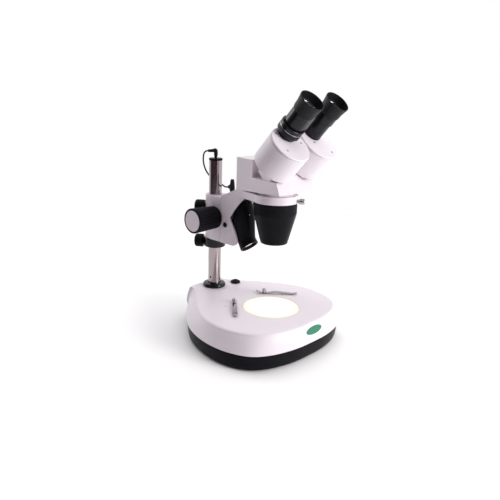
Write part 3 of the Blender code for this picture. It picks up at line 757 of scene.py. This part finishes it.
# ---- Focus drive ----
# One steel shaft through the clamp with a large ribbed knob at each end. Each knob's face holds a
# pale disc inside a black rim.
SHAFT = (0, 124, 191.5)
KNOB_X, KNOB_R = 71.4, 21.8
painted("focus_shaft", steel.material)
disc_grey = Finish("pale disc", (0.66, 0.59, 0.65), roughness=0.34, specular_ior_level=0.45)
disc_grey.feed("Roughness", disc_grey.noise(600.0) * 0.1 + 0.3)
for side, name in ((1, "R"), (-1, "L")):
    knob = [
        (3.8, 20), (8, 20), (8, 52), (17.4, 52), (17.4, 20.4), (19.2, 20.4), (19.9, 21.4),
        (KNOB_R, KNOB_X - 1.2), (KNOB_R - 1.2, KNOB_X), (KNOB_R - 2.9, KNOB_X), (KNOB_R - 2.9, KNOB_X - 2),
        (4.5, KNOB_X - 2), (4.5, 63), (3.8, 62),
    ]
    grip = turned(
        f"focus_grip_{name}", knob, SHAFT, (side, 0, 0), black_plastic, 0.5,
        ribs=(30, 0.9, 21.4, KNOB_X - 1.6),
    )
    fitted(grip, "focus_drive", "black_plastic", f"focus_knob_{name}")
    face = [
        (0, KNOB_X - 1.7), (KNOB_R - 3.6, KNOB_X - 1.7), (KNOB_R - 3.6, KNOB_X - 0.4), (0, KNOB_X - 0.4)
    ]
    disc = turned(f"focus_disc_{name}", face, SHAFT, (side, 0, 0), disc_grey.material, 0.3)
    fitted(disc, "focus_drive", "cap", f"knob_cap_{name}")


# ---- Carriage: the arm that carries the head ----
# A white casting: a slide with a steel rack at the back, two cheeks that hold the lamp between them,
# and a ring in front in which the head turns. The lamp's pin and the lead's lower plug are on it.
fitted(eased_copy("arm_casting", "arm", 0.7, white_paint), "carriage", "white_paint", "arm")
painted("focus_rack", steel.material)
pin = [
    (0, -21), (3.6, -21), (4.5, -20.4), (4.5, -19.3), (2.5, -19.3), (2.5, 19.3), (3.5, 19.3), (3.5, 20.5),
    (0, 20.5),
]
fitted(
    turned("lamp_pivot_pin", pin, (0, 97, 182), (1, 0, 0), anodised, 0.5, 48),
    "carriage", "black_metal", "lamp_pin",
)
lower_elbow = [(0, 101, 228), (0, 101, 236), (0, 101, 244), (0, 101, 252), (0, 101, 259.5)]
stem = plug("arm_plug_stem", lower_elbow, (1.8, 1.8, 4.5, 4.7, 4.4, 4.0, 3.0), rubber)
fitted(stem, "carriage", "black_plastic", "lead_plug_arm")
boot_spine = [(0, 101, 247), (0.3, 104, 246.2), (0.6, 107, 245.6), (0.9, 110.0, 245.1)]
fitted(plug("arm_plug_boot", boot_spine, (4.4, 4.4, 4.0, 3.0), rubber), "carriage", "black_plastic")

# The knurled steel screw in the ring, which locks the head's rotation.
lock_way = np.array([0.42, -0.907, 0.0])
lock = [(0, 30.6), (1.8, 30.6), (1.8, 37.4), (3, 37.4), (3, 40), (4.6, 40), (4.6, 47), (4, 48), (0, 48)]
lock_screw = turned(
    "head_lock_screw", lock, (0, 0, 240.3), lock_way, polished.material, 0.4, ribs=(28, 0.25, 40.6, 46.6)
)
fitted(lock_screw, "head_lock", "chrome", "head_screw")


# ---- Lamp ----
# A black moulded hood that hangs between the arm's cheeks and tips on a pin, to throw light down on
# the stage. Its mouth holds a warm frosted lens.

# Each station holds y, z, tilt in degrees, half width, half depth and squareness, 1 being round.
lamp_path = np.array([
    (55, 149, 42, 16.4, 16.4, 1), (57.3, 151.6, 42, 16.4, 16.4, 1), (61, 157, 38, 15.4, 15.8, 0.95),
    (65.5, 168, 24, 15.6, 17, 0.85), (69, 184, 9, 15.6, 18, 0.75), (70.3, 200, -6, 15.6, 17.6, 0.7),
    (68.8, 214, -12, 15, 14, 0.75), (67, 222, -14, 13, 10, 0.85), (66, 226, -14, 8, 5, 1),
], float)
LAMP_TILT = math.radians(42.0)
lamp_aim = np.array([0.0, -math.sin(LAMP_TILT), -math.cos(LAMP_TILT)])


def hood(samples, around):
    """Superellipse sections up a smooth spine, along which tilt, width, depth and squareness change."""
    station = np.linspace(0, len(lamp_path) - 1, samples)
    k = np.clip(station.astype(int), 0, len(lamp_path) - 2)
    f = (station - k)[:, None]
    padded = np.vstack([lamp_path[:1], lamp_path, lamp_path[-1:]])
    a, b, c, d = padded[k], padded[k + 1], padded[k + 2], padded[np.minimum(k + 3, len(padded) - 1)]
    y, z, tilt, wide, deep, power = catmull_rom(a, b, c, d, f).T
    t = np.linspace(0, 2 * math.pi, around, endpoint=False)[None]
    tilt, wide, deep, power = (v[:, None] for v in (np.radians(tilt), wide, deep, power))
    x = wide * np.sign(np.cos(t)) * np.abs(np.cos(t)) ** power
    down = deep * np.sign(np.sin(t)) * np.abs(np.sin(t)) ** power
    return np.stack([x, y[:, None] + down * np.cos(tilt), z[:, None] - down * np.sin(tilt)], axis=-1)


AROUND = 72
shell = hood(56, AROUND)
mouth = np.array([0.0, 55.0, 149.0])
spread = np.linspace(0, 2 * math.pi, AROUND, endpoint=False)


def mouth_ring(radius, depth):
    """A ring in the lamp's mouth, in step with the hood's own first ring."""
    x = radius * np.cos(spread)
    down = radius * np.sin(spread)
    ring = np.stack([x, down * math.cos(LAMP_TILT), -down * math.sin(LAMP_TILT)], axis=-1)
    return mouth - lamp_aim * depth + ring


lip_profile = ((0.0, 8.2), (12.8, 8.2), (13.0, 1.0), (13.4, 0.2), (14.2, -0.2), (15.4, -0.2), (16.1, 0.1))
lip = [mouth_ring(radius, depth)[None] for radius, depth in lip_profile]
top_end = np.repeat(shell[-1].mean(axis=0)[None], AROUND, axis=0)[None]
hood_points = np.concatenate([*lip, shell, top_end])
hood_faces = grid_quads(len(hood_points), AROUND, close_rows=False)
lamp = built("lamp_hood", hood_points, hood_faces, black_plastic, 40.0)
fitted(lamp, "lamp", "black_plastic", "lamp_housing")


def slab(name, outline, low, high, material, ease=0.8):
    """An outline of (y, z) carried along X from low to high, with rounded edges."""
    count = len(outline)
    ring = np.array(outline, float)
    points = np.concatenate([np.c_[np.full(count, x), ring] for x in (low, high)])
    ends = [list(range(count)), list(range(count, 2 * count))]
    faces = grid_quads(2, count, close_rows=False).tolist() + ends
    return bevelled(built(name, points, faces, material, 40.0), ease)


web = [(78, 171), (97, 175.5), (101.5, 179), (102.5, 183), (99, 188.5), (78, 192)]
fitted(slab("lamp_pivot_lug", web, -5, 5, black_plastic), "lamp", "black_plastic")
warm = Finish("warm lens", (0.95, 0.85, 0.72), roughness=0.25)
warm.shader.inputs["Emission Color"].default_value = (1.0, 0.86, 0.74, 1.0)
warm.shader.inputs["Emission Strength"].default_value = 0.35
warm.feed("Roughness", warm.noise(900.0) * 0.2 + 0.15)
lens = [(0, 3.4), (6, 3.9), (12.6, 5), (12.6, 7.6), (0, 7.6)]
fitted(
    turned("lamp_front_lens", lens, mouth, -lamp_aim, warm.material, 0.6, 72),
    "lamp", "lamp_glass", "lamp_lens",
)
painted("lamp_bulb", warm.material)
rim_screw = [(0, 0), (2.6, 0), (2.6, 0.7), (1.7, 0.9), (1.5, 0.4), (0, 0.4)]
fitted(
    turned("lamp_top_screw", rim_screw, (-7.2, 58.4, 216.5), (-0.42, -0.86, 0.28), anodised, 0.2, 32),
    "lamp", "black_metal",
)
# A small plain white bead on the front of the hood.
bead = [(0, 0), (0.9, 0), (0.9, 0.5), (0, 0.8)]
white_bead = turned(
    "lamp_white_bead", bead, (-5.2, 52.6, 206.0), (-0.3, -0.95, 0.1), reflector.material, 0.1, 20
)
fitted(white_bead, "lamp", "white_plastic")


# ---- Head body ----
# A white casting that turns in the arm's ring: a deck with a leaning front, a block at the back, and
# a sloping seat for the two prism drums.
fitted(eased_copy("head_casting", "head_body", 0.8, white_paint), "head", "white_paint", "head_body")


# ---- Objective turret ----
# A black moulded cup under the head; its upper band is finely ribbed to give a grip, and below it
# tapers to a flat face with two pairs of objectives. Turning it by a quarter changes the power.
cup = [
    (5.4, 168), (21.6, 168), (22.6, 169), (22.6, 171.4), (23.4, 172.4), (34.7, 216), (35, 217.5),
    (35, 236.3), (31.5, 236.3), (31.5, 218), (20.6, 174.5), (5.4, 174.5),
]
fitted(
    turned("turret_cup", cup, (0, 0, 0), (0, 0, 1), black_plastic, 0.6, 144),
    "turret", "black_plastic", "objective_turret",
)
RIBS = 132
t = np.linspace(0, 2 * math.pi, 8 * RIBS, endpoint=False)
rib = 34.86 + 0.3 * (0.5 + 0.5 * np.cos(RIBS * t)) ** 1.4
rows = [(34.6, 218.0), (rib, 218.6), (rib, 235.4), (34.6, 236.1)]
band = np.array([np.stack([r * np.cos(t), r * np.sin(t), np.full_like(t, z)], axis=-1) for r, z in rows])
grip_band = built("turret_grip_band", band, grid_quads(4, len(t)), black_plastic, 60.0)
fitted(grip_band, "turret", "black_plastic")
coated = Finish(
    "coated lens", (0.035, 0.05, 0.075), roughness=0.05, coat_weight=1.0, specular_ior_level=0.8
)
coated.between(coated.noise(40.0), (0.03, 0.045, 0.07), (0.05, 0.05, 0.085))
ring_steel = Finish("lens ring", (0.05, 0.05, 0.055), metallic=1.0, roughness=0.25)
objectives = (
    (13, 0, 6.4, "2x_R"), (0, -13, 5.2, "4x_front"), (-13, 0, 6.4, "2x_L"), (0, 13, 5.2, "4x_rear")
)
for x, y, r, name in objectives:
    glass = [
        (0, 169.4), (r * 0.6, 169.0), (r * 0.82, 169.4), (r * 0.82, 186), (r - 1.5, 186), (r - 1.5, 176),
        (0, 176),
    ]
    fitted(
        turned(f"objective_glass_{name}", glass, (x, y, 0), (0, 0, 1), coated.material, 0.3, 48),
        "turret", "lens", f"objective_{name}",
    )
    barrel_rim = [(r * 0.84, 168.9), (r, 169.4), (r, 185.5), (r * 0.84, 185.5)]
    fitted(
        turned(f"objective_rim_{name}", barrel_rim, (x, y, 0), (0, 0, 1), ring_steel.material, 0.2, 48),
        "turret", "black_metal",
    )


# ---- Prism drums ----
# Two white moulded drums on the sloping seat, each closed by a plate with three small screws. They
# turn towards or away from each other to suit the distance between the user's eyes.
TILT = math.radians(48.0)
LOOK = np.array([0.0, -math.cos(TILT), math.sin(TILT)])
RISE = np.array([0.0, math.sin(TILT), math.cos(TILT)])
DRUM_X, DRUM_R, DRUM_L = 34.0, 33.3, 50.0
bright_ring = Finish("bright ring", (0.85, 0.85, 0.88), metallic=1.0, roughness=0.12)
bright_ring.feed("Roughness", bright_ring.noise(600.0) * 0.1 + 0.07)
for side, name in ((1, "R"), (-1, "L")):
    face = np.array([side * DRUM_X, -54.5, 334.5])
    body = f"ocular_{name}"
    eye = face - np.array([side * 3.3, 0, 0]) + RISE * 18.0
    wall = [
        (10, -DRUM_L), (DRUM_R - 1.5, -DRUM_L), (DRUM_R, -DRUM_L + 1.5), (DRUM_R, -3.35), (30.3, -3.35),
        (30.3, -DRUM_L + 3), (10, -DRUM_L + 3),
    ]
    fitted(
        turned(f"drum_wall_{name}", wall, face, LOOK, white_moulding, 0.7, 128),
        body, "white_plastic", f"drum_{name}",
    )
    lid = [(0, -3), (DRUM_R, -3), (DRUM_R, -1.1), (DRUM_R - 1.1, 0), (0, 0)]
    fitted(
        turned(f"drum_lid_{name}", lid, face, LOOK, white_moulding, 0.8, 128),
        body, "white_plastic", f"drum_plate_{name}",
    )
    screws = ((-16, 21.5), (-17.4, -12), (22.8, 0)) if side < 0 else ((-12.6, 0), (12.3, -22), (19, 17))
    for k, (x, up) in enumerate(screws):
        spot = face + np.array([x, 0, 0]) + RISE * up
        head = [(0, -0.6), (1.5, -0.6), (1.5, 0.12), (1.2, 0.3), (0.7, 0.3), (0.6, -0.2), (0, -0.2)]
        fitted(
            turned(f"lid_screw_{name}_{k + 1}", head, spot, LOOK, anodised, 0.1, 28),
            body, "black_metal",
        )

    # Eye tube: a black anodised tube that stands on the lid, with a thin flange at its foot.
    end = 24.0 if side < 0 else 30.0
    foot = [
        (12.4, -2.9), (13.6, -2.9), (13.6, 0.3), (15.4, 0.3), (15.4, 3), (15, 4), (15, end - 0.6),
        (14.5, end), (13.5, end), (13.5, 1), (12.4, 1),
    ]
    fitted(
        turned(f"eye_tube_barrel_{name}", foot, eye, LOOK, anodised, 0.3),
        body, "black_metal", f"eye_tube_{name}",
    )
    if side < 0:
        ring = [
            (15.3, 5.5), (18.2, 5.5), (18.9, 6.2), (18.9, 13.0), (18.3, 13.5), (18.3, 14.6), (19, 15.1),
            (19, 20.3), (18.2, 21), (15.3, 21),
        ]
        fitted(
            turned("dioptre_grip_ring", ring, eye, LOOK, anodised, 0.3, ribs=(60, 0.3, 6.4, 12.8)),
            "dioptre", "black_plastic", "dioptre_ring",
        )
        seam = [(17.9, 13.5), (18.7, 13.6), (18.7, 14.5), (17.9, 14.6)]
        fitted(turned("dioptre_index_ring", seam, eye, LOOK, polished.material, 0.2), "dioptre", "chrome")

    # Eyepiece: a barrel that drops into the tube, its lens, and a flared rubber eyecup.
    top = 2.0 if side < 0 else 0.5
    barrel_line = [
        (11.8, end - 18), (13.2, end - 18), (13.2, end + 0.3), (16.4, end + 0.3), (16.4, top + 43.6),
        (14.6, top + 43.6), (14.6, top + 53), (13.2, top + 54), (11.8, top + 54),
    ]
    fitted(
        turned(f"eyepiece_barrel_{name}", barrel_line, eye, LOOK, anodised, 0.4),
        f"eye_{name}", "black_metal", f"eyepiece_{name}",
    )
    glass = [(0, 45.5), (11.5, 46.5), (11.5, 49.5), (9, 50.3), (5, 50.8), (0, 51)]
    fitted(
        turned(f"eye_lens_glass_{name}", glass, eye + LOOK * top, LOOK, coated.material, 0.5, 72),
        f"eye_{name}", "lens", f"eye_lens_{name}",
    )
    bezel = [(10.9, 51.2), (13.0, 52.6), (13.0, 54.0), (12.4, 54.4), (10.9, 52.0)]
    fitted(
        turned(f"eye_lens_bezel_{name}", bezel, eye + LOOK * top, LOOK, bright_ring.material, 0.3),
        f"eye_{name}", "chrome",
    )
    soft_cup = [
        (14.9, 44.0), (17.0, 44.0), (17.3, 46), (17.6, 53), (18.6, 60), (19.6, 65), (19.2, 66),
        (18.4, 65.6), (17.4, 60), (16.2, 54.8), (14.9, 53.6),
    ]
    fitted(
        turned(f"eyecup_rubber_{name}", soft_cup, eye + LOOK * top, LOOK, rubber, 0.8),
        f"eye_{name}", "rubber", f"eyecup_{name}",
    )
    painted(f"prism_{name}", coated.material)
